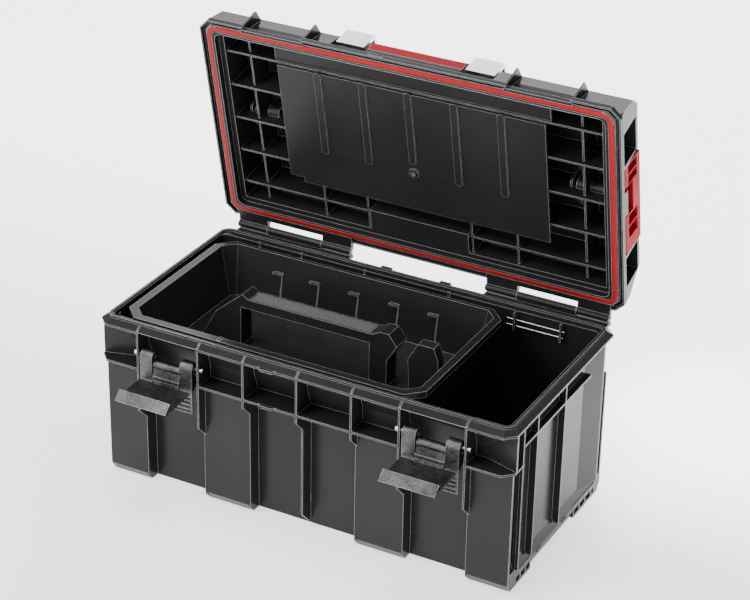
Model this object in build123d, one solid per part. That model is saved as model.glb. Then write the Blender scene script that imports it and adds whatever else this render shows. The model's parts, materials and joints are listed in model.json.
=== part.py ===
from build123d import *
import os

# Toolbox with a hinged lid, two draw latches, a folding carry handle and a lift-out tray.
# Millimetres. X runs along the box, +X to the right of somebody at the latches, the latches
# face -Y, +Z is up. The origin is on the floor under the middle of the base's footprint.
# The lid and all that it carries are modelled closed, then turned open to the rest pose.

WIDTH = 450.0            # across the base flange
DEPTH = 238.0            # across the base flange
FLANGE_LOW = 174.0       # underside of the base flange
RIM_TOP = 180.0          # top of the base rim
LIP_TOP = 182.2          # sealing lip on the rim
LID_LOW = 182.5          # underside of the closed lid
LID_WIDTH = 454.0
LID_TOP = 230.0          # top of the closed lid
CORNER = 10.0            # corner chamfer in plan
WALL = 2.5
RIB = 1.8                # thickness of the moulded ribs

HINGE_Y = 129.0
HINGE_Z = 180.9
LID_OPEN = 78.0          # degrees from closed in the rest pose
PIN_FIT = 0.05           # radial clearance of a pin in its hole

# front and rear elevations of the base
FIN_A, FIN_B, FIN_C = 58.8, 109.3, 177.8     # fins either side of the middle one
FINS = [0.0, FIN_A, FIN_B, FIN_C]
LATCH_FINS = [FIN_B, FIN_C]
FRONT_WALL = 91.0        # main wall, outside, front
REAR_WALL = 102.5        # main wall, outside, rear
FRONT_PANEL = 107.0      # proud panels, front
REAR_PANEL = 107.0       # shallow panels, rear
PANEL_END = 221.5        # the proud panels end here
BELT_TOP = 136.0
BELT_THICK = 2.0
FIN_STEP = 126.0         # where a fin starts to step back to the panel
LATCH_FIN_STEP = 88.0
FOOT_CHAMFER = 9.0
FOOT_INSET = 6.0
MIDDLE_FOOT = 13.0       # chamfer at the foot of the middle fin

# sides
SIDE_WALL = 217.5
SIDE_FACE = 224.5        # ribs, rails and feet of the ends
RAIL_TOP = 156.0
FOOT_TOP = 14.0
SILL_TOP = 28.0

# inside
INNER_X = SIDE_WALL - WALL
INNER_FRONT = FRONT_WALL - WALL
INNER_REAR = 100.0
FLOOR_TOP = 3.0
LEDGE = 175.5            # the tray's rim rests here
LIP_X = 217.0            # centre line of the sealing lip
LIP_Y = 110.0
LIP_THICK = 2.6

# tray
TRAY_X0, TRAY_X1 = -206.4, 121.5
TRAY_Y0, TRAY_Y1 = -104.0, 87.4
TRAY_TOP = 182.0
TRAY_FLOOR = 127.0
TRAY_RIM = 8.0
TRAY_REAR_RIM = 4.2
TRAY_WALL = 1.8
TRAY_TAPER = 12.0        # degrees
TRAY_HANDLE_Y = -8.6


# ---------------------------------------------------------------- helpers

def block(x0, x1, y0, y1, z0, z1):
    """A box between two corners."""
    centre = Pos((x0 + x1) / 2, (y0 + y1) / 2, (z0 + z1) / 2)
    return centre * Box(abs(x1 - x0), abs(y1 - y0), abs(z1 - z0))


def plate_x(x0, x1, *points):
    """A plate from x0 to x1 whose outline is given as (y, z) points."""
    outline = Polyline(*[(x0, y, z) for y, z in points], close=True)
    return extrude(make_face(outline), amount=x1 - x0, dir=(1, 0, 0))


def plate_y(y0, y1, *points):
    """A plate from y0 to y1 whose outline is given as (x, z) points."""
    outline = Polyline(*[(x, y0, z) for x, z in points], close=True)
    return extrude(make_face(outline), amount=y1 - y0, dir=(0, 1, 0))


def plate_z(z0, z1, *points):
    """A plate from z0 to z1 whose outline is given as (x, y) points."""
    outline = Polyline(*[(x, y, z0) for x, y in points], close=True)
    return extrude(make_face(outline), amount=z1 - z0, dir=(0, 0, 1))


def rod_x(x0, x1, y, z, radius):
    """A round bar along X."""
    return Pos((x0 + x1) / 2, y, z) * Rot(0, 90, 0) * Cylinder(radius, abs(x1 - x0))


def rod_y(x, y0, y1, z, radius):
    """A round bar along Y."""
    return Pos(x, (y0 + y1) / 2, z) * Rot(90, 0, 0) * Cylinder(radius, abs(y1 - y0))


def slab(width, depth, corner, z0, z1, y_mid=0.0):
    """A rectangular plate with chamfered corners in plan."""
    sketch = chamfer(Rectangle(width, depth).vertices(), corner)
    return extrude(Pos(0, y_mid, z0) * sketch, amount=z1 - z0)


def round_slab(width, depth, radius, z0, z1, y_mid=0.0):
    """A rectangular plate with rounded corners in plan."""
    sketch = RectangleRounded(width, depth, radius)
    return extrude(Pos(0, y_mid, z0) * sketch, amount=z1 - z0)


def ring(width, depth, radius, thick, z0, z1):
    """A rounded rectangular ring whose centre line is width by depth."""
    outer = round_slab(width + thick, depth + thick, radius + thick / 2, z0, z1)
    return outer - round_slab(width - thick, depth - thick, radius - thick / 2, z0, z1)


def both_sides(shape):
    """The shape and its mirror image in the YZ plane."""
    return [shape, mirror(shape, about=Plane.YZ)]


def signed(values):
    """Each value and its negative, with zero once."""
    return sorted({sign * value for value in values for sign in (-1, 1)})


def opened(shape):
    """Turn a closed lid part to the rest pose."""
    hinge = Pos(0, HINGE_Y, HINGE_Z)
    return hinge * Rot(-LID_OPEN, 0, 0) * hinge.inverse() * shape


def save(shape, name):
    """Write one named piece."""
    shape.label = name
    export_step(shape, f"parts/{name}.step")


# ---------------------------------------------------------------- base

def fin(x, side, wall, outer, panel, step, foot):
    """One upright fin of the front (side -1) or rear (side +1) elevation."""
    drop = outer - panel
    low = [(wall, foot[0]), (panel - foot[1], foot[0]), (panel, foot[0] + foot[1])]
    points = low + [(panel, step - drop), (outer, step), (outer, FLANGE_LOW), (wall, FLANGE_LOW)]
    return plate_x(x - RIB / 2, x + RIB / 2, *[(side * y, z) for y, z in points])


def elevation(side, wall, panel, long_fins):
    """Fins, panels and upper wall that the front and the rear of the base share."""
    edge = DEPTH / 2
    root = min(wall, panel - MIDDLE_FOOT) - 1
    under_belt = BELT_TOP - BELT_THICK
    pieces = []
    for x in signed(FINS):
        step = LATCH_FIN_STEP if long_fins and abs(x) in LATCH_FINS else FIN_STEP
        foot = (4.0, MIDDLE_FOOT) if x == 0 else (0.0, FOOT_CHAMFER * 0.7)
        pieces.append(fin(x, side, root, edge, panel, step, foot))
    for x0, x1 in [(FIN_A, FIN_B), (FIN_C, PANEL_END)]:
        outline = [(root, 0), (panel - FOOT_INSET, 0), (panel, FOOT_CHAMFER), (panel, under_belt),
                   (root, under_belt)]
        proud = plate_x(x0, x1, *[(side * y, z) for y, z in outline])
        if panel - WALL > wall:
            back = side * (panel - WALL)
            proud -= block(x0 + WALL, x1 - WALL, side * (root - 1), back, 11, under_belt - WALL)
        pieces += both_sides(proud)
    for x0, x1 in [(0.0, FIN_A), (FIN_A, FIN_B)]:
        pieces += both_sides(block(x0, x1, side * root, side * edge, under_belt, BELT_TOP))
    low, high = BELT_TOP - 1, FLANGE_LOW + 1
    middle = [(root, low), (wall + 6, low), (wall + 6, high), (root, high)]
    pieces += both_sides(plate_x(FIN_A, FIN_B, *[(side * y, z) for y, z in middle]))
    # skin that closes the end panel round the corner
    pieces += both_sides(block(SIDE_WALL - 1, PANEL_END, side * (panel - WALL), side * (panel - 0.2), 9, 135))
    return pieces


def front_corners():
    """Belt and slanted upper wall of the front's end bays."""
    under_belt = BELT_TOP - BELT_THICK
    root, edge = FRONT_WALL - 1, DEPTH / 2
    inner, slant = FRONT_WALL + 6, FRONT_PANEL - WALL
    belt = [(FIN_C, -root), (FIN_C, -edge), (SIDE_FACE - CORNER, -edge), (SIDE_FACE, -edge + CORNER),
            (SIDE_FACE, -root)]
    post = [(FIN_C, -root), (FIN_C, -inner), (190, -inner), (SIDE_FACE, -FRONT_PANEL), (SIDE_FACE, -slant),
            (SIDE_WALL - 1, -slant + 3), (SIDE_WALL - 1, -root)]
    pieces = both_sides(plate_z(under_belt, BELT_TOP, *belt))
    return pieces + both_sides(plate_z(BELT_TOP - 1, FLANGE_LOW + 1, *post))


def side_structure():
    """Ribs, rails and feet of the right side, copied to the left."""
    reach = FRONT_PANEL - WALL
    pieces = []
    for y in (-92.0, -62.0, 0.0, 90.0):
        pieces.append(block(SIDE_WALL - 1, SIDE_FACE, y - RIB / 2, y + RIB / 2, SILL_TOP - 8, FLANGE_LOW + 1))
    pieces.append(block(SIDE_WALL - 1, SIDE_FACE, -92, 60, RAIL_TOP - BELT_THICK, RAIL_TOP))
    sill_face = SIDE_WALL + 3.5
    sill = [(SIDE_WALL - 1, 8), (sill_face, 8), (sill_face, 13), (SIDE_WALL - 1, SILL_TOP)]
    pieces.append(plate_y(-reach, REAR_PANEL - WALL, *sill))
    for y in (-36, 22):
        pieces.append(block(sill_face - 1, sill_face + 1.2, y - 4, y + 4, 9, 12.5))
    # rear part of the recess leans out to the corner post
    lean = [(SIDE_WALL - 1, 58), (SIDE_WALL, 58), (SIDE_FACE, 90), (SIDE_FACE, 92), (SIDE_WALL - 1, 92)]
    pieces.append(plate_z(SILL_TOP - 8, FLANGE_LOW + 1, *lean))
    cells = 4
    for outer, inner in [(-FRONT_PANEL + 0.2, -56), (REAR_PANEL - 0.2, 44)]:
        inset = FOOT_INSET if outer < 0 else -FOOT_INSET
        foot = plate_x(SIDE_WALL - 1, PANEL_END, (inner, 0), (outer + inset, 0), (outer, FOOT_CHAMFER),
                       (outer, FOOT_TOP), (inner, FOOT_TOP))
        low, high = sorted((outer + inset, inner))
        pitch = (high - low) / cells
        for index in range(cells):
            start = low + pitch * index
            foot -= block(SIDE_WALL + 1, SIDE_FACE, start + 1.2, start + pitch - 1.2, 3.0, 11.5)
        pieces.append(foot)
    return [copy for piece in pieces for copy in both_sides(piece)]


def tub():
    """Outer form of the walls and the floor."""
    front = -FRONT_WALL
    outline = [(front, 0), (front, 132), (front - 9, 160), (front - 9, FLANGE_LOW + 1),
               (REAR_WALL, FLANGE_LOW + 1), (REAR_WALL, 0)]
    return plate_x(-SIDE_WALL, SIDE_WALL, *outline)


def cavity():
    """Space inside the base."""
    front = -INNER_FRONT
    outline = [(front, FLOOR_TOP), (front, 133), (front - 9, 161), (front - 9, LEDGE + 1),
               (INNER_REAR, LEDGE + 1), (INNER_REAR, FLOOR_TOP)]
    main = plate_x(-INNER_X, INNER_X, *outline)
    upright = main.edges().filter_by(Axis.Z)
    main = fillet(upright, 8)
    top = round_slab(2 * INNER_X, 107 + INNER_REAR, 8, LEDGE, LIP_TOP + 1, (INNER_REAR - 107) / 2)
    return main + top


def flange():
    """Sloping rim flange, flat rim and sealing lip."""
    skirt = slab(WIDTH, DEPTH, CORNER, FLANGE_LOW, FLANGE_LOW + 2)
    low = Pos(0, 0, FLANGE_LOW + 2) * chamfer(Rectangle(WIDTH, DEPTH).vertices(), CORNER)
    high = Pos(0, 0, RIM_TOP) * chamfer(Rectangle(WIDTH - 11, DEPTH - 13).vertices(), CORNER - 3)
    slope = loft([low, high])
    lip = ring(2 * LIP_X, 2 * LIP_Y, 9, LIP_THICK, RIM_TOP - 1, LIP_TOP)
    return [skirt, slope, lip]


HINGE_SPANS = [(-212.0, -176.5, -112.0, -77.0), (77.0, 112.0, 176.5, 212.0)]
KNUCKLE = 3.8
KNUCKLE_GAP = 0.4        # end play between neighbouring knuckles
PIN_RADIUS = 2.0
GUTTER_TOP = HINGE_Z - KNUCKLE - 1.5


def base_knuckles():
    """The long middle knuckle of each hinge, on a gutter plate behind the rim."""
    pieces = []
    for x0, x1, x2, x3 in HINGE_SPANS:
        pieces.append(block(x0, x3, 110, HINGE_Y + 4, GUTTER_TOP - 3, GUTTER_TOP))
        a, b = x1 + KNUCKLE_GAP, x2 - KNUCKLE_GAP
        pieces.append(block(a, b, HINGE_Y - 2, HINGE_Y + 2, GUTTER_TOP - 1, HINGE_Z))
        pieces.append(rod_x(a, b, HINGE_Y, HINGE_Z, KNUCKLE))
        for x in (x0 + 6, x3 - 6, (x0 + x3) / 2):
            gusset = [(REAR_WALL, GUTTER_TOP - 2), (HINGE_Y, GUTTER_TOP - 2), (REAR_WALL, GUTTER_TOP - 24)]
            pieces.append(plate_x(x - RIB / 2, x + RIB / 2, *gusset))
    return pieces


LATCH_X = 143.55
PIVOT_Y, PIVOT_Z = -115.0, 152.0
PIVOT_RADIUS = 2.0
LATCH_BAY = 33.3         # half width of a latch bay between its fins
PIVOT_RIB = 34.25        # centre of the fin that holds a pivot
PIVOT_END = 38.7
RAIL_RIB_X = (124.5, 174.4)
RAIL_RODS = [(116.5, 178.0, 171.4), (116.0, 177.0, 164.7)]
RAIL_Y = 97.0
RAIL_RADIUS = 0.9


def base_shell():
    """The moulded base."""
    shell = tub()
    shell += flange()
    shell += elevation(-1, FRONT_WALL, FRONT_PANEL, True)
    shell += elevation(1, REAR_WALL, REAR_PANEL, False)
    shell += front_corners()
    for x in signed(FINS):
        # small gusset over the sloping flange at the head of each fin
        gusset = [(-110, 175), (-118.5, 175), (-118.5, 177), (-114, RIM_TOP + 0.6), (-110, RIM_TOP + 0.6)]
        shell += plate_x(x - RIB / 2, x + RIB / 2, *gusset)
    shell += side_structure()
    shell += base_knuckles()
    # clip bumps between the middle ribs, on the flange and on the belt
    for z in (FLANGE_LOW, BELT_TOP - BELT_THICK):
        bump = [(-42, -118), (-38, -121.5), (-26, -121.5), (-22, -118)]
        shell += plate_z(z, z + 2.5, *bump)
    shell -= cavity()
    # upright grooves between the side's outer ribs and the front and rear panels
    x0, x1, low = SIDE_WALL + 1, SIDE_FACE + 1, SILL_TOP - 8
    shell -= both_sides(block(x0, x1, 92, REAR_PANEL - WALL, low, FLANGE_LOW))
    shell -= both_sides(block(x0, x1, WALL - FRONT_PANEL, -93, low, BELT_TOP - BELT_THICK))
    for x in (-170, -120, -46, 50):
        support = [(101, 181), (99, 181), (99, LEDGE), (85, LEDGE), (85, 170), (101, 140)]
        shell += plate_x(x - RIB / 2, x + RIB / 2, *support)
    for x in (-29, 38):
        shell += block(x - 6, x + 6, 112.8, 117.5, RIM_TOP - 4, RIM_TOP + 1.2)
    for x in RAIL_RIB_X:
        rail_rib = block(x - 0.9, x + 0.9, RAIL_Y - 2.5, INNER_REAR + 1, 160, RIM_TOP)
        for x0, x1, z in RAIL_RODS:
            rail_rib -= rod_x(x0, x1, RAIL_Y, z, RAIL_RADIUS)
        shell += rail_rib
    # the skirt is thinner over the latch bays
    for centre in (-LATCH_X, LATCH_X):
        x0, x1 = centre - LATCH_BAY, centre + LATCH_BAY
        shell -= block(x0, x1, -DEPTH / 2 - 1, -FRONT_WALL, FLANGE_LOW - 1, 175.6)
    # holes for the hinge pins and the latch pivots
    for x0, x1, x2, x3 in HINGE_SPANS:
        shell -= rod_x(x0, x3, HINGE_Y, HINGE_Z, PIN_RADIUS)
    for centre in (-LATCH_X, LATCH_X):
        for x in (centre - PIVOT_RIB, centre + PIVOT_RIB):
            shell -= rod_x(x - RIB, x + RIB, PIVOT_Y, PIVOT_Z, PIVOT_RADIUS)
    return shell


def hinge_pin(span):
    """Steel pin through the three knuckles of one hinge."""
    return rod_x(span[0] - 1, span[3] + 1, HINGE_Y, HINGE_Z, PIN_RADIUS)


def wall_rail_rods():
    """Two thin steel rods held by the ribs on the rear wall."""
    return Compound([rod_x(x0, x1, RAIL_Y, z, RAIL_RADIUS) for x0, x1, z in RAIL_RODS])


# ---------------------------------------------------------------- latches

LEVER_HALF = 29.6        # half width of the latch lever
EAR_WIDTH = 13.9
LEVER_FACE = -122.0
LEVER_THICK = 2.0
LEVER_LOW = 104.5
WINDOW_LOW = 128.0
RIDGE_RADIUS, RIDGE_PITCH = 1.5, 4.7
EAR_RADIUS = 6.5
HOOK_Y, HOOK_Z = -116.0, 145.0
HOOK_PIN_RADIUS = 2.0
HOOK_KNUCKLE = 4.8
HOOK_HALF = 28.7         # half width of the hook plate
HOOK_REACH = -167.0
HOOK_LOW = 125.0         # lower edge of the hook plate


def latch_lever(centre):
    """Stamped lever: a ridged finger plate with two ears on the base pivots."""
    face = LEVER_FACE
    back = face + LEVER_THICK
    lever = block(centre - LEVER_HALF, centre + LEVER_HALF, face, back, LEVER_LOW, WINDOW_LOW)
    for sign in (-1, 1):
        outer = centre + sign * LEVER_HALF
        inner = outer - sign * EAR_WIDTH
        x0, x1 = sorted((outer, inner))
        ear = plate_x(x0, x1, (face, WINDOW_LOW - 1), (back, WINDOW_LOW - 1), (-109.5, 138),
                      (PIVOT_Y + EAR_RADIUS, PIVOT_Z), (face, PIVOT_Z))
        ear += rod_x(x0, x1, PIVOT_Y - 0.5, PIVOT_Z, EAR_RADIUS)
        ear -= rod_x(x0 - 1, x1 + 1, PIVOT_Y, PIVOT_Z, PIVOT_RADIUS + PIN_FIT)
        ear -= rod_x(x0 - 1, x1 + 1, HOOK_Y, HOOK_Z, HOOK_PIN_RADIUS)
        lever += ear
    for index in range(4):
        z = LEVER_LOW + RIDGE_RADIUS + index * RIDGE_PITCH
        lever += rod_x(centre - LEVER_HALF + 2, centre + LEVER_HALF - 2, face, z, RIDGE_RADIUS)
    return lever


def latch_pivots(centre):
    """Two short pins that carry the lever's ears in the ribs of the bay."""
    pins = []
    head_start = PIVOT_RIB + RIB / 2
    for sign in (-1, 1):
        outer = centre + sign * PIVOT_END
        inner = centre + sign * (LEVER_HALF - EAR_WIDTH - 0.6)
        head = rod_x(centre + sign * head_start, outer, PIVOT_Y, PIVOT_Z, PIVOT_RADIUS + 0.8)
        pins.append(rod_x(outer, inner, PIVOT_Y, PIVOT_Z, PIVOT_RADIUS) + head)
    return Compound(pins)


def latch_hook_pin(centre):
    """Pin pressed in the lever's ears, on which the hook plate turns."""
    half = LEVER_HALF - 1
    return rod_x(centre - half, centre + half, HOOK_Y, HOOK_Z, HOOK_PIN_RADIUS)


def latch_hook(centre):
    """Bent plate with a rolled knuckle and a turned-back hooking lip."""
    neck_half = LEVER_HALF - EAR_WIDTH - 0.8
    neck = plate_x(centre - neck_half, centre + neck_half, (-120.2, 143), (-117.8, 142), (-120.6, 129.0),
                   (-126.5, 127.0), (-126.5, 129.0), (-122.6, 130.6))
    knuckle = rod_x(centre - neck_half, centre + neck_half, HOOK_Y, HOOK_Z, HOOK_KNUCKLE)
    bead = rod_x(centre - neck_half, centre + neck_half, -121.2, 133.5, 1.5)
    plate = plate_x(centre - HOOK_HALF, centre + HOOK_HALF, (-124.6, 129.3), (-124.6, 127.3),
                    (HOOK_REACH + 1, HOOK_LOW), (HOOK_REACH - 0.6, HOOK_LOW + 2))
    lip = plate_x(centre - HOOK_HALF, centre + HOOK_HALF, (HOOK_REACH + 1, HOOK_LOW),
                  (HOOK_REACH - 1.2, HOOK_LOW + 1.4), (HOOK_REACH + 7.4, HOOK_LOW + 10),
                  (HOOK_REACH + 9.2, HOOK_LOW + 8.6))
    groove = rod_x(centre - LEVER_HALF, centre + LEVER_HALF, HOOK_REACH - 0.2, HOOK_LOW + 3.6, 0.5)
    hook = neck + knuckle + bead + plate + lip - groove
    return hook - rod_x(centre - LEVER_HALF, centre + LEVER_HALF, HOOK_Y, HOOK_Z, HOOK_PIN_RADIUS + PIN_FIT)


# ---------------------------------------------------------------- tray

def tray_prism(inset, rear_inset, z0, z1, taper, corner):
    """Chamfered plan of the tray, drawn in by inset and narrowing downwards by taper degrees."""
    x0, x1 = TRAY_X0 + inset, TRAY_X1 - inset
    y0, y1 = TRAY_Y0 + inset, TRAY_Y1 - rear_inset
    sketch = chamfer(Rectangle(x1 - x0, y1 - y0).vertices(), corner)
    place = Pos((x0 + x1) / 2, (y0 + y1) / 2, z1)
    return extrude(place * sketch, amount=z0 - z1, taper=taper)


GRIP_X0, GRIP_X1 = -112.0, 27.0
GRIP_TOP = 183.0
PEAK_TOP = 187.5


def tray():
    """Moulded tray with its lengthwise handle."""
    rim = tray_prism(0, 0, LEDGE, TRAY_TOP, 0, 16)
    wall = TRAY_RIM - TRAY_WALL, TRAY_REAR_RIM - TRAY_WALL
    bowl = tray_prism(*wall, TRAY_FLOOR, TRAY_TOP - 1, TRAY_TAPER, 13)
    space = tray_prism(TRAY_RIM, TRAY_REAR_RIM, TRAY_FLOOR + TRAY_WALL, TRAY_TOP, TRAY_TAPER, 12)
    under_rim = tray_prism(1.6, 1.6, LEDGE, TRAY_TOP - 1.8, 0, 15)
    body = rim - under_rim + bowl - space
    y0, y1 = TRAY_HANDLE_Y - 10.5, TRAY_HANDLE_Y + 10.5
    floor = TRAY_FLOOR + TRAY_WALL / 2
    # the handle's side view: two splayed pillars with peaked shoulders, joined by the grip
    side = [(-168, floor), (-150, 161), (-119, PEAK_TOP), (GRIP_X0, GRIP_TOP), (GRIP_X1, GRIP_TOP),
            (35, PEAK_TOP), (45, PEAK_TOP), (54, 176), (43, 158), (43, floor)]
    handle = plate_y(y0, y1, *side)
    handle -= block(-121, 24, y0 - 1, y1 + 1, floor + TRAY_WALL / 2, GRIP_TOP - 10)
    recess = block(GRIP_X0, GRIP_X1 - 3, y0 + 2.5, y1 - 2.5, GRIP_TOP - 2.2, GRIP_TOP + 10)
    body += handle - recess
    # wedge-topped post between the handle and the end wall
    post = [(65.5, floor), (63.5, 163), (74, 182.5), (91, 182.5), (96, 169), (98, floor)]
    body += plate_y(-14, -2, *post)
    # small seam block across the front rim
    body += block(-97, -93, TRAY_Y0 + 1, TRAY_Y0 + TRAY_RIM, TRAY_TOP - 1, TRAY_TOP + 0.8)
    # divider hooks on the rear wall, each with a guide rib, kept inside the wall's outer face
    fittings = Part()
    for x in (-135, -92, -46, 0, 44):
        fittings += block(x - 5.5, x + 5.5, 76, 85, 162, 164)
        guide = [(71, TRAY_FLOOR), (82, TRAY_FLOOR), (85, 163), (78, 163)]
        fittings += plate_x(x + 4.3, x + 5.3, *guide)
    return body + (fittings & bowl)


def tray_grip_insert():
    """Ribbed soft strip let into the top of the tray's grip."""
    y0, y1 = TRAY_HANDLE_Y - 8, TRAY_HANDLE_Y + 8
    strip = block(GRIP_X0, GRIP_X1 - 3, y0, y1, GRIP_TOP - 2.2, GRIP_TOP - 0.9)
    ribs = 6
    for index in range(ribs):
        y = y0 + (index + 0.5) * (y1 - y0) / ribs
        strip += block(GRIP_X0 + 2, GRIP_X1 - 5, y - 0.7, y + 0.7, GRIP_TOP - 1.5, GRIP_TOP - 0.3)
    return strip


# ---------------------------------------------------------------- lid (drawn closed)

PANEL_LOW, PANEL_HIGH = 190.5, 193.0
PANEL_X, PANEL_FRONT, PANEL_REAR = 146.0, -78.0, 61.0
SHELF = 190.0
SHELF_X, SHELF_Y = 205.0, 99.0
LID_FACE = LID_WIDTH / 2
END_WALL = 214.0         # wall behind the pockets of the lid's ends
WELL_HALF = 88.5
WELL_REAR = -76.0
WELL_FLOOR = 198.0
STRAP_X0, STRAP_X1 = 55.0, 86.0
STRAP_PIVOT_Y, STRAP_PIVOT_Z = -20.0, 223.0
STRAP_PIN = 2.5
CROSSBAR_Y, CROSSBAR_Z = -98.0, 215.5
CROSSBAR_RADIUS = 3.5
BOSS_Y = 15.5            # screw boss behind the inner panel
ROLLERS = [(-195.5, -193.0), (-189.5, -183.0), (-175.0, -162.0),
           (162.0, 164.5), (168.5, 178.0), (183.5, 197.0)]
ROLLER_Y, ROLLER_Z, ROLLER_RADIUS = -3.0, 212.0, 6.0
LOCK_Y0, LOCK_Y1 = -46.0, 56.0
LOCK_AXIS_X, LOCK_AXIS_Z = 218.0, 198.0
LOCK_PIN = 1.5
LOCK_FLOOR = 189.3       # low enough for the lock's edge to swing past
GROOVE_X, GROOVE_Y = LIP_X, LIP_Y
GROOVE_WIDTH = 5.4
GASKET_HIGH = LID_LOW + 4
SEAT_FACE = -116.0
SEAT_TOP = 188.0


def lid_outer():
    """Outer form of the lid without its recesses."""
    half = DEPTH / 2
    skirt = slab(LID_WIDTH, DEPTH, CORNER, LID_LOW, 188)
    profile = [(-half + 7, 187), (-half + 13, 221), (-half + 21.7, LID_TOP), (92, LID_TOP), (half - 2, SHELF),
               (half - 2, 187)]
    draft = [(-LID_FACE + 1, 187), (-LID_FACE + 4, LID_TOP), (LID_FACE - 4, LID_TOP), (LID_FACE - 1, 187)]
    body = plate_x(-LID_FACE, LID_FACE, *profile) & plate_y(-half, half, *draft)
    return skirt + (body & slab(LID_WIDTH, DEPTH, CORNER, LID_LOW, LID_TOP))


def well_cuts(grow):
    """Handle well, pivot pockets and rear grip pocket, grown by a wall thickness for the inside."""
    high = LID_TOP + 5
    front = block(-WELL_HALF - grow, WELL_HALF + grow, -125, WELL_REAR + grow, WELL_FLOOR - grow, high)
    pivot = block(STRAP_X0 - 3 - grow, STRAP_X1 + 3 + grow, -36 - grow, -4 + grow, 210 - grow, high)
    rear = block(-53 - grow, 53 + grow, 78.5 - grow, 130, 192.5 - grow, high)
    return [front, rear] + both_sides(pivot)


def lid_cavity():
    """Space inside the lid."""
    mouth = round_slab(2 * 211, 2 * 105, 8, LID_LOW - 1, SHELF)
    ceiling = LID_TOP - WALL
    outline = [(-SHELF_Y, SHELF - 1), (-SHELF_Y, 219), (-95, ceiling), (88, ceiling), (SHELF_Y, 212),
               (SHELF_Y, SHELF - 1)]
    room = plate_x(-SHELF_X, SHELF_X, *outline)
    for cut in well_cuts(WALL):
        room -= cut
    return mouth + room


def lid_ribs():
    """Grid of deep ribs under the lid's top, the front shelf and the rollers beside the panel."""
    roof = LID_TOP - 1
    pieces = [block(-150, 150, -SHELF_Y - 1, -80, WELL_FLOOR - WALL, WELL_FLOOR)]
    for y in (-80, -40, 0, 40, 80):
        pieces.append(block(-SHELF_X - 1, SHELF_X + 1, y - RIB / 2, y + RIB / 2, PANEL_HIGH, roof))
    for x in signed([FIN_A, FIN_B]):
        pieces.append(block(x - RIB / 2, x + RIB / 2, PANEL_REAR, SHELF_Y + 1, PANEL_HIGH, roof))
    for x in (-181, 181):
        pieces.append(block(x - RIB / 2, x + RIB / 2, -SHELF_Y - 1, SHELF_Y + 1, WELL_FLOOR, roof))
    for x0, x1 in ROLLERS:
        pieces.append(rod_x(x0, x1, ROLLER_Y, ROLLER_Z, ROLLER_RADIUS))
        pieces.append(block(x0, x1, ROLLER_Y - ROLLER_RADIUS, ROLLER_Y + ROLLER_RADIUS, ROLLER_Z, roof))
        pieces.append(plate_x(x0, x1, (ROLLER_Y, ROLLER_Z), (38, roof), (ROLLER_Y, roof)))
    return pieces


def side_pockets():
    """Windows and lock pockets in the lid's ends."""
    depth_x = END_WALL - 4
    cuts = [block(depth_x, LID_FACE + 1, y0, y1, 191.5, 225) for y0, y1 in [(-86, -49), (59, 94)]]
    cuts.append(block(END_WALL - 2, LID_FACE + 1, LOCK_Y0, LOCK_Y1, LOCK_FLOOR, LID_TOP + 5))
    return [copy for cut in cuts for copy in both_sides(cut)]


def lid_knuckles():
    """Two knuckles for each hinge, each on an arm from the lid's rear edge."""
    arm = [(112, 186), (117, 190), (HINGE_Y + 2.4, HINGE_Z + 2.8), (HINGE_Y, HINGE_Z), (119, LID_LOW),
           (112, LID_LOW)]
    pieces = []
    for x0, x1, x2, x3 in HINGE_SPANS:
        for a, b in [(x0 + KNUCKLE_GAP, x1 - KNUCKLE_GAP), (x2 + KNUCKLE_GAP, x3 - KNUCKLE_GAP)]:
            pieces.append(plate_x(a, b, *arm))
            pieces.append(rod_x(a, b, HINGE_Y, HINGE_Z, KNUCKLE))
    return pieces


def rim_channel():
    """Undercut between the lid's edge and the gasket groove, left out at the latch seats."""
    low = LID_LOW - 1
    groove_x, groove_y = 2 * GROOVE_X + GROOVE_WIDTH, 2 * GROOVE_Y + GROOVE_WIDTH
    wide = slab(LID_WIDTH - 3.2, DEPTH - 3.2, CORNER - 1, low, 187)
    wall = slab(groove_x + 2.4, groove_y + 2.4, CORNER - 3, 184, 188)
    channel = wide - wall - slab(groove_x, groove_y, CORNER - 4, low - 1, 188)
    for centre in (-LATCH_X, LATCH_X):
        channel -= block(centre - PIVOT_RIB - 1, centre + PIVOT_RIB + 1, -DEPTH / 2, 0, low, 188)
    for x0, x1, x2, x3 in HINGE_SPANS:
        channel -= block(x0, x3, 100, DEPTH / 2, low, 188)
    return channel


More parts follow.
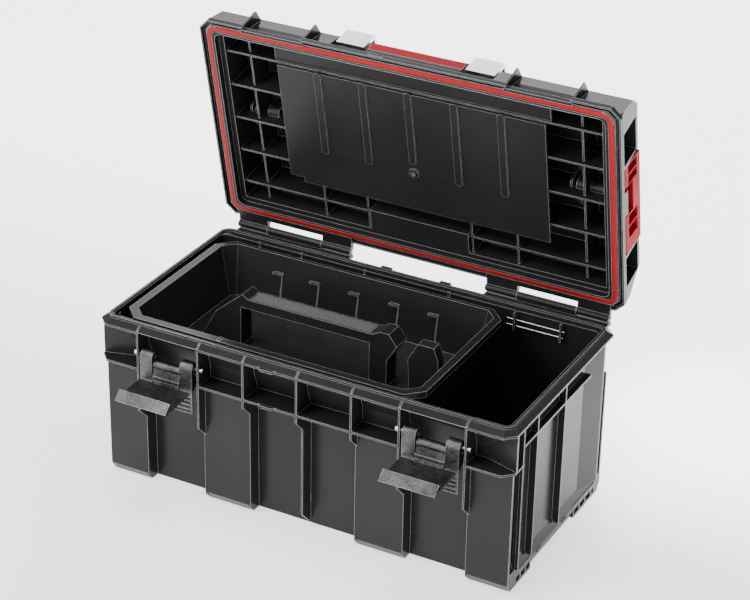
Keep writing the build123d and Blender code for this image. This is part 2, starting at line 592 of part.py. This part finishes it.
def lid_shell():
    """The moulded lid."""
    shell = lid_outer()
    for cut in well_cuts(0) + side_pockets():
        shell -= cut
    shell -= lid_cavity()
    ribs = (Part() + lid_ribs()) & lid_outer()
    for cut in well_cuts(0):
        ribs -= cut
    shell += ribs
    # seats for the latch hooks, between the fins
    for centre in (-LATCH_X, LATCH_X):
        x0, x1 = centre - LATCH_BAY, centre + LATCH_BAY
        shell -= block(x0, x1, -125, SEAT_FACE, LID_LOW - 1, 200)
        shell -= block(x0, x1, -125, -108.5, SEAT_TOP, 205)
        shell += block(x0, x1, -109, -104, 183, 206) & lid_outer()
    for x in signed(LATCH_FINS):
        shell += plate_x(x - RIB / 2, x + RIB / 2, (-106, 184), (-119, 184), (-120.5, 212), (-106, 219.5))
    # clip bump on the rim and the tabs in the notches of the side locks
    shell += block(-36, -20, -120.2, -117, 183.2, 187)
    shell += both_sides(block(END_WALL - 3, LID_FACE - 1.5, -18, 9, 188, 199))
    shell += lid_knuckles()
    boss_low, boss_high = PANEL_HIGH, LID_TOP - 1
    shell += Pos(0, BOSS_Y, (boss_low + boss_high) / 2) * Cylinder(5, boss_high - boss_low)
    shell -= Pos(0, BOSS_Y, boss_low + 5) * Cylinder(1.5, 14)
    shell -= ring(2 * GROOVE_X, 2 * GROOVE_Y, 9, GROOVE_WIDTH, LID_LOW - 1, GASKET_HIGH)
    shell -= rim_channel()
    # raised border round the lid's top
    shell -= slab(380, 150, 12, LID_TOP - 1.0, LID_TOP + 1, 5)
    for x0, x1, x2, x3 in HINGE_SPANS:
        shell -= rod_x(x0, x3, HINGE_Y, HINGE_Z, PIN_RADIUS + PIN_FIT)
    for side in (-1, 1):
        shell -= rod_x(side * (STRAP_X0 - 6), side * (STRAP_X1 + 6), STRAP_PIVOT_Y, STRAP_PIVOT_Z, STRAP_PIN)
        shell -= rod_y(side * LOCK_AXIS_X, LOCK_Y0 - 5, LOCK_Y1 + 5, LOCK_AXIS_Z, LOCK_PIN)
    return shell


def lid_gasket():
    """Soft sealing ring pressed in the groove of the lid."""
    seal = ring(2 * GROOVE_X, 2 * GROOVE_Y, 9, GROOVE_WIDTH, LID_LOW, GASKET_HIGH)
    low = seal.edges().group_by(Axis.Z)[0]
    return fillet(low, 1.6)


def lid_inner_panel():
    """Flat panel over the ribs with five rounded straps hooked over its front edge."""
    panel = block(-PANEL_X, PANEL_X, PANEL_FRONT, PANEL_REAR, PANEL_LOW, PANEL_HIGH)
    panel -= block(-PANEL_X - 1, -PANEL_X + 16, PANEL_REAR - 6, PANEL_REAR + 1, PANEL_LOW - 1, PANEL_HIGH + 1)
    for x in (-100, -50, 0, 50, 100):
        rear = 4 if x == 0 else 17
        strap = block(x - 4, x + 4, PANEL_FRONT - 1.8, rear, PANEL_LOW - 1.8, PANEL_LOW)
        panel += chamfer(strap.edges().filter_by(Axis.Z), 2.2)
    panel += Pos(0, BOSS_Y, PANEL_LOW - 0.8) * Cylinder(5.5, 1.6)
    return panel - Pos(0, BOSS_Y, PANEL_LOW) * Cylinder(1.7, 10)


def panel_screw():
    """Pan-head screw that holds the inner panel."""
    head = Pos(0, BOSS_Y, PANEL_LOW - 2.4) * Cylinder(3.2, 1.6)
    for size in ((3.4, 0.8), (0.8, 3.4)):
        head -= Pos(0, BOSS_Y, PANEL_LOW - 3.2) * Box(*size, 1.4)
    return head + Pos(0, BOSS_Y, PANEL_LOW + 4.0) * Cylinder(1.5, 11.4)


def crossbar(half):
    """Round bar across the carry handle, or the hole for it."""
    return rod_x(-half, half, CROSSBAR_Y, CROSSBAR_Z, CROSSBAR_RADIUS)


def handle_straps():
    """Two wide aluminium straps from the pivots to the grip, bent down at the front."""
    top, under = LID_TOP + 5, LID_TOP + 1
    side_view = [(-14, top), (-105, top), (-108, top - 3), (-108, 209), (-92, 209), (-92, 222), (-104, 222),
                 (-104, under), (-26, under), (-26, 217), (-14, 217)]
    strap = plate_x(STRAP_X0, STRAP_X1, *side_view)
    strap -= rod_x(STRAP_X0 - 1, STRAP_X1 + 1, STRAP_PIVOT_Y, STRAP_PIVOT_Z, STRAP_PIN + PIN_FIT)
    return Part() + both_sides(strap) - crossbar(STRAP_X1 + 1)


def handle_crossbar():
    """Round bar that carries the grip between the straps."""
    return crossbar(STRAP_X1 - 1)


GRIP_PROFILE = [(-100.5, 229.5), (-106.5, 221), (-107, 208), (-102, 203), (-90, 203), (-85.5, 208),
                (-85.5, 226), (-89, 229.5)]
GRIP_HALF = 53.5


def badge_recess():
    """Space of the badge in the front of the grip, along its two facets."""
    outline = [(-100.3, 229.6), (-106.8, 221.1), (-107.2, 210), (-105, 210), (-104.6, 221), (-98.6, 228.4)]
    return plate_x(-GRIP_HALF + 2.5, GRIP_HALF - 2.5, *outline)


def handle_grip():
    """Moulded grip on the crossbar."""
    grip = plate_x(-GRIP_HALF, GRIP_HALF, *GRIP_PROFILE)
    grip = chamfer(grip.faces().filter_by(Axis.X).edges(), 2)
    return grip - badge_recess() - crossbar(GRIP_HALF + 5)


def handle_badge():
    """Plain red badge, with no lettering."""
    return badge_recess() & plate_x(-GRIP_HALF, GRIP_HALF, *GRIP_PROFILE)


def handle_pins():
    """Pivot pins of the carry handle."""
    pin = rod_x(STRAP_X0 - 5, STRAP_X1 + 5, STRAP_PIVOT_Y, STRAP_PIVOT_Z, STRAP_PIN)
    return Compound(both_sides(pin))


def side_lock(side):
    """Red stacking lock that folds out of the lid's end."""
    y0, y1 = LOCK_Y0 + 0.5, LOCK_Y1 - 0.5
    face = LID_FACE - 2
    body = block(214.5, face, y0, y1, 194.5, 229)
    body -= block(213, face + 1, -22, 12, 190, 212)
    for a, b in [(-44, -34), (-32, -23), (14, 26), (28, 41)]:
        body -= block(218.5, face + 1, a, b, 201.5, 222)
    body -= block(213, 216.5, y0 - 1, y1 + 1, 203, 224)
    body -= rod_y(LOCK_AXIS_X, y0 - 1, y1 + 1, LOCK_AXIS_Z, LOCK_PIN + PIN_FIT)
    return body if side > 0 else mirror(body, about=Plane.YZ)


def side_lock_pin(side):
    """Pin of a side lock."""
    return rod_y(side * LOCK_AXIS_X, LOCK_Y0 - 4, LOCK_Y1 + 4, LOCK_AXIS_Z, LOCK_PIN)


# ---------------------------------------------------------------- output

def main():
    """Write every piece."""
    os.makedirs("parts", exist_ok=True)
    save(base_shell(), "base_shell")
    save(wall_rail_rods(), "wall_rail_rods")
    save(tray(), "tray")
    save(tray_grip_insert(), "tray_grip_insert")
    for side, name in ((-1, "left"), (1, "right")):
        save(hinge_pin(HINGE_SPANS[0 if side < 0 else 1]), f"hinge_pin_{name}")
        save(latch_pivots(side * LATCH_X), f"latch_pivots_{name}")
        save(latch_lever(side * LATCH_X), f"latch_lever_{name}")
        save(latch_hook_pin(side * LATCH_X), f"latch_hook_pin_{name}")
        save(latch_hook(side * LATCH_X), f"latch_hook_{name}")
        save(opened(side_lock(side)), f"side_lock_{name}")
        save(opened(side_lock_pin(side)), f"side_lock_pin_{name}")
    save(opened(lid_shell()), "lid_shell")
    save(opened(lid_gasket()), "lid_gasket")
    save(opened(lid_inner_panel()), "lid_inner_panel")
    save(opened(panel_screw()), "panel_screw")
    save(opened(handle_straps()), "handle_straps")
    save(opened(handle_crossbar()), "handle_crossbar")
    save(opened(handle_grip()), "handle_grip")
    save(opened(handle_badge()), "handle_badge")
    save(opened(handle_pins()), "handle_pins")


main()
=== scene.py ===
import json
from math import cos, radians, sin

import bmesh
import bpy
from mathutils import Matrix, Vector


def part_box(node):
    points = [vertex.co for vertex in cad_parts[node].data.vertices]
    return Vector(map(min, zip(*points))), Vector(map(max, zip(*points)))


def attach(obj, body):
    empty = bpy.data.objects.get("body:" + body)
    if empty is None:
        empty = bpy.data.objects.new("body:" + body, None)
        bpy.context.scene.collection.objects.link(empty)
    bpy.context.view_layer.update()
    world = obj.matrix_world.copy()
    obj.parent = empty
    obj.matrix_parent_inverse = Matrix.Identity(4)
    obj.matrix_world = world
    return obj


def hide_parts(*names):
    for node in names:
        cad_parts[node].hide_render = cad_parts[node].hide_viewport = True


# Toolbox with an open lid, draw latches and a lift-out tray. Metres, in the CAD model's frame.

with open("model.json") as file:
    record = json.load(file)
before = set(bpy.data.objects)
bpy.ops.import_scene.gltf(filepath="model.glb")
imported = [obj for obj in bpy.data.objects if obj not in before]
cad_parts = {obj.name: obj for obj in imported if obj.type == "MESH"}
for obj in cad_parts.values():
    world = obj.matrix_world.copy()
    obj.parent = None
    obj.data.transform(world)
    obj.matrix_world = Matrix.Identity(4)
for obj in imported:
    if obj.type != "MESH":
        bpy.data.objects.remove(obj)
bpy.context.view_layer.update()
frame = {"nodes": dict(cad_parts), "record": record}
nodes = frame["nodes"]

MM = 0.001


# ---------------------------------------------------------------- material helpers

NOISE_RANGE = {"From Min": 0.3, "From Max": 0.7}    # where nearly all of a noise texture's values lie
EDGE_SAMPLES = 6
EDGE_FLAT, EDGE_SHARP = 0.995, 0.80                 # cosines between a face and its rounded normal

FLOW_SCALE = 9.0            # mottling of moulded plastic
SPARK_SCALE = 900.0         # spark-eroded texture of its mould
SPARK_DEPTH = 0.2 * MM
PLASTIC_HIGHLIGHT_WIDTH = 0.7 * MM     # width of the painted highlights along the edges

STREAK_SCALE = 60.0         # brushed metal
SCUFF_SCALE = 45.0
STREAK_DEPTH = 0.3 * MM

GRAIN_SCALE = 420.0         # coarse skin of the latches
CLOUD_SCALE = 38.0
GRAIN_DEPTH = 0.4 * MM
# width and colour of the painted highlights along the latches' edges
STEEL_HIGHLIGHT_WIDTH = 0.6 * MM
STEEL_HIGHLIGHT_COLOUR = (0.55, 0.55, 0.56)


def grey(value):
    return (value, value, value)


def new_material(name):
    """An empty node material, its Principled shader, and functions that add and link its nodes."""
    material = bpy.data.materials.new(name)
    material.use_nodes = True
    tree = material.node_tree
    shader = tree.nodes["Principled BSDF"]

    def add(kind, inputs=None, **settings):
        node = tree.nodes.new("ShaderNode" + kind)
        for key, value in settings.items():
            setattr(node, key, value)
        for socket, value in (inputs or {}).items():
            if isinstance(value, bpy.types.NodeSocket):
                tree.links.new(value, node.inputs[socket])
            else:
                node.inputs[socket].default_value = value
        return node

    def link(output, shader_input):
        tree.links.new(output, shader.inputs[shader_input])

    return material, shader, add, link


def noise(add, place, scale, detail, roughness):
    texture = add("TexNoise", {"Vector": place, "Scale": scale, "Detail": detail, "Roughness": roughness})
    return texture.outputs["Fac"]


def ramp(add, factor, stops):
    """A colour ramp over (position, colour) stops."""
    node = add("ValToRGB", {"Fac": factor})
    elements = node.color_ramp.elements
    for element, (position, colour) in zip(elements, stops):
        element.position = position
        element.color = (*colour, 1.0)
    return node.outputs["Color"]


def spread(add, factor, low, high):
    """The values of a noise texture spread between low and high."""
    node = add("MapRange", {"Value": factor, **NOISE_RANGE, "To Min": low, "To Max": high})
    return node.outputs["Result"]


def product(add, first, second):
    return add("Math", {0: first, 1: second}, operation="MULTIPLY").outputs["Value"]


def relief(add, height, strength, distance):
    bump = add("Bump", {"Strength": strength, "Distance": distance, "Height": height})
    return bump.outputs["Normal"]


def highlight_edge_mask(add, radius):
    """1 along convex and concave edges within radius, 0 on flat faces: where the painted edge highlights
    go.
    """
    bevel = add("Bevel", {"Radius": radius}, samples=EDGE_SAMPLES)
    geometry = add("NewGeometry")
    dot = add("VectorMath", {0: bevel.outputs["Normal"], 1: geometry.outputs["Normal"]},
              operation="DOT_PRODUCT")
    mask = add("MapRange", {"Value": dot.outputs["Value"], "From Min": EDGE_FLAT, "From Max": EDGE_SHARP})
    return mask.outputs["Result"]


def with_painted_edge_highlight(add, colour, highlight_colour, radius):
    """A colour with a painted highlight colour along the edges."""
    mix = add("Mix", {0: highlight_edge_mask(add, radius), "A": colour, "B": (*highlight_colour, 1.0)}, data_type="RGBA")
    return mix.outputs[2]


def plastic(name, base, light, edge_highlight, roughness, bump=0.12, specular=0.36):
    """Moulded plastic: fine spark texture, faint flow mottling and painted highlights along its edges."""
    material, shader, add, link = new_material(name)
    place = add("TexCoord").outputs["Object"]
    flow = noise(add, place, FLOW_SCALE, 3.0, 0.45)
    spark = noise(add, place, SPARK_SCALE, 2.0, 0.5)
    colour = ramp(add, flow, [(0.3, base), (0.7, light)])
    link(with_painted_edge_highlight(add, colour, edge_highlight, PLASTIC_HIGHLIGHT_WIDTH), "Base Color")
    link(spread(add, flow, roughness - 0.02, roughness + 0.03), "Roughness")
    link(relief(add, spark, bump, SPARK_DEPTH), "Normal")
    shader.inputs["Specular IOR Level"].default_value = specular
    return material


def metal(name, base, light, roughness, stretch, bump):
    """Rolled or brushed metal with scuffs and with streaks along one axis."""
    material, shader, add, link = new_material(name)
    place = add("TexCoord").outputs["Object"]
    along = add("Mapping", {"Vector": place, "Scale": stretch}).outputs["Vector"]
    streak = noise(add, along, STREAK_SCALE, 5.0, 0.7)
    scuff = noise(add, place, SCUFF_SCALE, 6.0, 0.75)
    both = product(add, streak, scuff)
    link(ramp(add, both, [(0.12, base), (0.42, light)]), "Base Color")
    link(spread(add, scuff, roughness - 0.08, roughness + 0.1), "Roughness")
    link(relief(add, both, bump, STREAK_DEPTH), "Normal")
    shader.inputs["Metallic"].default_value = 1.0
    return material


def cast_metal(name, base, light, roughness):
    """Coarse-skinned zinc-plated steel, darker in the hollows of its grain, with painted highlights along
    its edges.
    """
    material, shader, add, link = new_material(name)
    place = add("TexCoord").outputs["Object"]
    grain = noise(add, place, GRAIN_SCALE, 3.0, 0.55)
    cloud = noise(add, place, CLOUD_SCALE, 4.0, 0.6)
    colour = ramp(add, product(add, grain, cloud), [(0.14, base), (0.38, light)])
    link(with_painted_edge_highlight(add, colour, STEEL_HIGHLIGHT_COLOUR, STEEL_HIGHLIGHT_WIDTH), "Base Color")
    link(spread(add, grain, roughness - 0.10, roughness + 0.12), "Roughness")
    link(relief(add, grain, 0.55, GRAIN_DEPTH), "Normal")
    shader.inputs["Metallic"].default_value = 1.0
    return material


# ---------------------------------------------------------------- materials

# the third colour given to each plastic is the painted highlight along its edges
body_plastic = plastic("body_plastic", grey(0.015), grey(0.021), grey(0.60), 0.26, specular=0.17)
tray_plastic = plastic("tray_plastic", grey(0.016), grey(0.022), grey(0.65), 0.26, specular=0.2)
red_plastic = plastic("red_plastic", (0.30, 0.006, 0.012), (0.38, 0.010, 0.018), (0.50, 0.02, 0.03),
                      0.50, bump=0.05, specular=0.06)
gasket_rubber = plastic("gasket_rubber", (0.34, 0.005, 0.008), (0.42, 0.007, 0.012), (0.46, 0.02, 0.03),
                        0.55, specular=0.2)
grip_rubber = plastic("grip_rubber", grey(0.050), grey(0.075), grey(0.30), 0.60, bump=0.3)
latch_steel = cast_metal("latch_steel", grey(0.035), grey(0.13), 0.42)
pin_steel = metal("pin_steel", grey(0.30), grey(0.62), 0.25, (0.1, 1.0, 1.0), 0.12)
handle_aluminium = metal("handle_aluminium", grey(0.74), grey(0.92), 0.36, (1.0, 0.15, 0.15), 0.10)

by_slot = {
    "body_plastic": body_plastic, "red_plastic": red_plastic, "gasket_rubber": gasket_rubber,
    "grip_rubber": grip_rubber, "latch_steel": latch_steel, "pin_steel": pin_steel,
    "handle_aluminium": handle_aluminium}
own_material = {"tray": tray_plastic}

bodies = frame["record"]["behaviour"]["bodies"]
body_of = {node: body for body, members in bodies.items() for node in members}
slot_of = {row["node"]: row["material_slot"] for row in frame["record"]["subparts"]}

for name, node_object in nodes.items():
    for material_slot in node_object.material_slots:
        material_slot.material = own_material.get(name, by_slot[slot_of[name]])


# ---------------------------------------------------------------- pieces with broken edges

WELD = 0.01 * MM
FLAT_ANGLE = radians(1.0)       # faces that meet at less than this are one face
BREAK_ANGLE = radians(28)       # edges sharper than this are broken
SMOOTH_ANGLE = radians(40)
BROKEN_EDGES = {
    "latch_lever_left": 0.5 * MM, "latch_hook_left": 0.4 * MM, "side_lock_left": 0.5 * MM,
    "latch_lever_right": 0.5 * MM, "latch_hook_right": 0.4 * MM, "side_lock_right": 0.5 * MM,
    "handle_grip": 1.2 * MM, "handle_badge": 0.3 * MM, "lid_inner_panel": 0.5 * MM}


def clean_copy(node):
    """A copy of a CAD node's mesh with its flat faces whole, ready for a bevel."""
    mesh = nodes[node].data.copy()
    mesh.name = node + "_rounded"
    work = bmesh.new()
    work.from_mesh(mesh)
    bmesh.ops.remove_doubles(work, verts=work.verts, dist=WELD)
    bmesh.ops.dissolve_limit(work, angle_limit=FLAT_ANGLE, verts=work.verts, edges=work.edges)
    work.to_mesh(mesh)
    work.free()
    return mesh


def rounded(node, width):
    """A copy of a CAD node whose sharp edges are broken by a small radius; it stands for the node."""
    mesh = clean_copy(node)
    piece = bpy.data.objects.new(node + "_piece", mesh)
    bpy.context.collection.objects.link(piece)
    mesh.materials.clear()
    mesh.materials.append(by_slot[slot_of[node]])
    bevel = piece.modifiers.new("broken_edges", "BEVEL")
    bevel.width = width
    bevel.segments = 2
    bevel.limit_method = "ANGLE"
    bevel.angle_limit = BREAK_ANGLE
    bevel.use_clamp_overlap = True
    bevel.harden_normals = True
    for polygon in mesh.polygons:
        polygon.use_smooth = True
    mesh.set_sharp_from_angle(angle=SMOOTH_ANGLE)
    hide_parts(node)
    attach(piece, body_of[node])


for name, width in BROKEN_EDGES.items():
    rounded(name, width)


# ---------------------------------------------------------------- floor

FLOOR_HALF = 6.0
FLOOR_PAINT = [(0.3, grey(0.90)), (0.7, grey(0.92))]
SWEEP_FROM, SWEEP_TO = -0.1, 0.6        # the floor's glow rises over this stretch of Y
SWEEP_LOW, SWEEP_HIGH = 1.3, 3.0
# painted light: a glowing pool on the floor beside the box's rear right corner, reflected in the box's
# right side
BASE_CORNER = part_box("base_shell")[1]
GLOW_CENTRE = (BASE_CORNER[0] + 0.055, BASE_CORNER[1] + 0.12, 0.0)
GLOW_CORE, GLOW_RADIUS = 0.05, 0.26
GLOW_STRENGTH = 1.8


def floor_paint_and_glow():
    """Pale paint with painted light: its emission glows more behind the box and most beside its rear right
    corner, a pool of light that lights the box.
    """
    material, shader, add, link = new_material("floor_paint_and_glow")
    place = add("TexCoord").outputs["Object"]
    cloud = add("TexNoise", {"Vector": place, "Scale": 3.0, "Detail": 3.0}).outputs["Fac"]
    link(ramp(add, cloud, FLOOR_PAINT), "Base Color")
    depth = add("SeparateXYZ", {"Vector": place})
    sweep = add("MapRange", {"Value": depth.outputs["Y"], "From Min": SWEEP_FROM, "From Max": SWEEP_TO,
                             "To Min": SWEEP_LOW, "To Max": SWEEP_HIGH}, interpolation_type="SMOOTHSTEP")
    reach = add("VectorMath", {0: place, 1: GLOW_CENTRE}, operation="DISTANCE")
    glow = add("MapRange", {"Value": reach.outputs["Value"], "From Min": GLOW_CORE, "From Max": GLOW_RADIUS,
                            "To Min": GLOW_STRENGTH, "To Max": 0.0}, interpolation_type="SMOOTHSTEP")
    total = add("Math", {0: sweep.outputs["Result"], 1: glow.outputs["Result"]}, operation="ADD")
    link(total.outputs["Value"], "Emission Strength")
    shader.inputs["Emission Color"].default_value = (1.0, 1.0, 1.0, 1.0)
    shader.inputs["Roughness"].default_value = 0.8
    return material


def pale_floor():
    """A wide pale floor under the box."""
    half = FLOOR_HALF
    mesh = bpy.data.meshes.new("floor")
    corners = [(-half, -half, 0), (half, -half, 0), (half, half, 0), (-half, half, 0)]
    mesh.from_pydata(corners, [], [(0, 1, 2, 3)])
    mesh.materials.append(floor_paint_and_glow())
    floor = bpy.data.objects.new("floor", mesh)
    bpy.context.collection.objects.link(floor)


# ---------------------------------------------------------------- light and camera

SKY_STRENGTH = 0.6
LAMPS = {   # place, target, size across and up, watts
    "key": ((-0.9, -2.3, 0.9), (0, 0, 0.10), (1.6, 0.9), 26),
    "upper_left": ((-1.0, -1.05, 1.8), (-0.1, -0.15, 0.13), (0.8, 0.8), 24),
    "top": ((0.1, -0.15, 2.2), (0.0, -0.05, 0.1), (0.8, 0.6), 14),
    "back": ((-0.6, 2.2, 1.8), (0, 0, 0.2), (2.2, 0.8), 35)}

VIEW_AZIMUTH, VIEW_ELEVATION, VIEW_ROLL = radians(27.82), radians(28.02), radians(1.12)
VIEW_TARGET = Vector((0.01927, 0.0, 0.20958))
VIEW_DISTANCE = 2.25577
LENS, SENSOR = 112.2, 36.0      # mm, as Blender counts them


def area_light(name, place, target, size, power):
    light = bpy.data.lights.new(name, "AREA")
    light.shape = "RECTANGLE"
    light.size, light.size_y = size
    light.energy = power
    lamp = bpy.data.objects.new(name, light)
    lamp.location = place
    lamp.rotation_euler = (Vector(target) - Vector(place)).to_track_quat("-Z", "Y").to_euler()
    bpy.context.collection.objects.link(lamp)


def studio():
    """Even sky light with four large soft lamps."""
    world = bpy.context.scene.world or bpy.data.worlds.new("studio")
    bpy.context.scene.world = world
    world.use_nodes = True
    background = world.node_tree.nodes["Background"]
    background.inputs["Color"].default_value = (1.0, 1.0, 1.0, 1.0)
    background.inputs["Strength"].default_value = SKY_STRENGTH
    for name, settings in LAMPS.items():
        area_light(name, *settings)


def camera():
    """Long lens, three-quarter view from the front right and above."""
    azimuth, elevation, roll = VIEW_AZIMUTH, VIEW_ELEVATION, VIEW_ROLL
    back = Vector((sin(azimuth) * cos(elevation), -cos(azimuth) * cos(elevation), sin(elevation)))
    level_right = Vector((cos(azimuth), sin(azimuth), 0.0))
    level_up = back.cross(level_right)
    right = level_right * cos(roll) + level_up * sin(roll)
    up = level_up * cos(roll) - level_right * sin(roll)
    data = bpy.data.cameras.new("camera")
    data.sensor_width = SENSOR
    data.lens = LENS
    view = bpy.data.objects.new("camera", data)
    rotation = Matrix((right, up, back)).transposed().to_4x4()
    view.matrix_world = Matrix.Translation(VIEW_TARGET + back * VIEW_DISTANCE) @ rotation
    bpy.context.collection.objects.link(view)
    bpy.context.scene.camera = view


pale_floor()
studio()
camera()
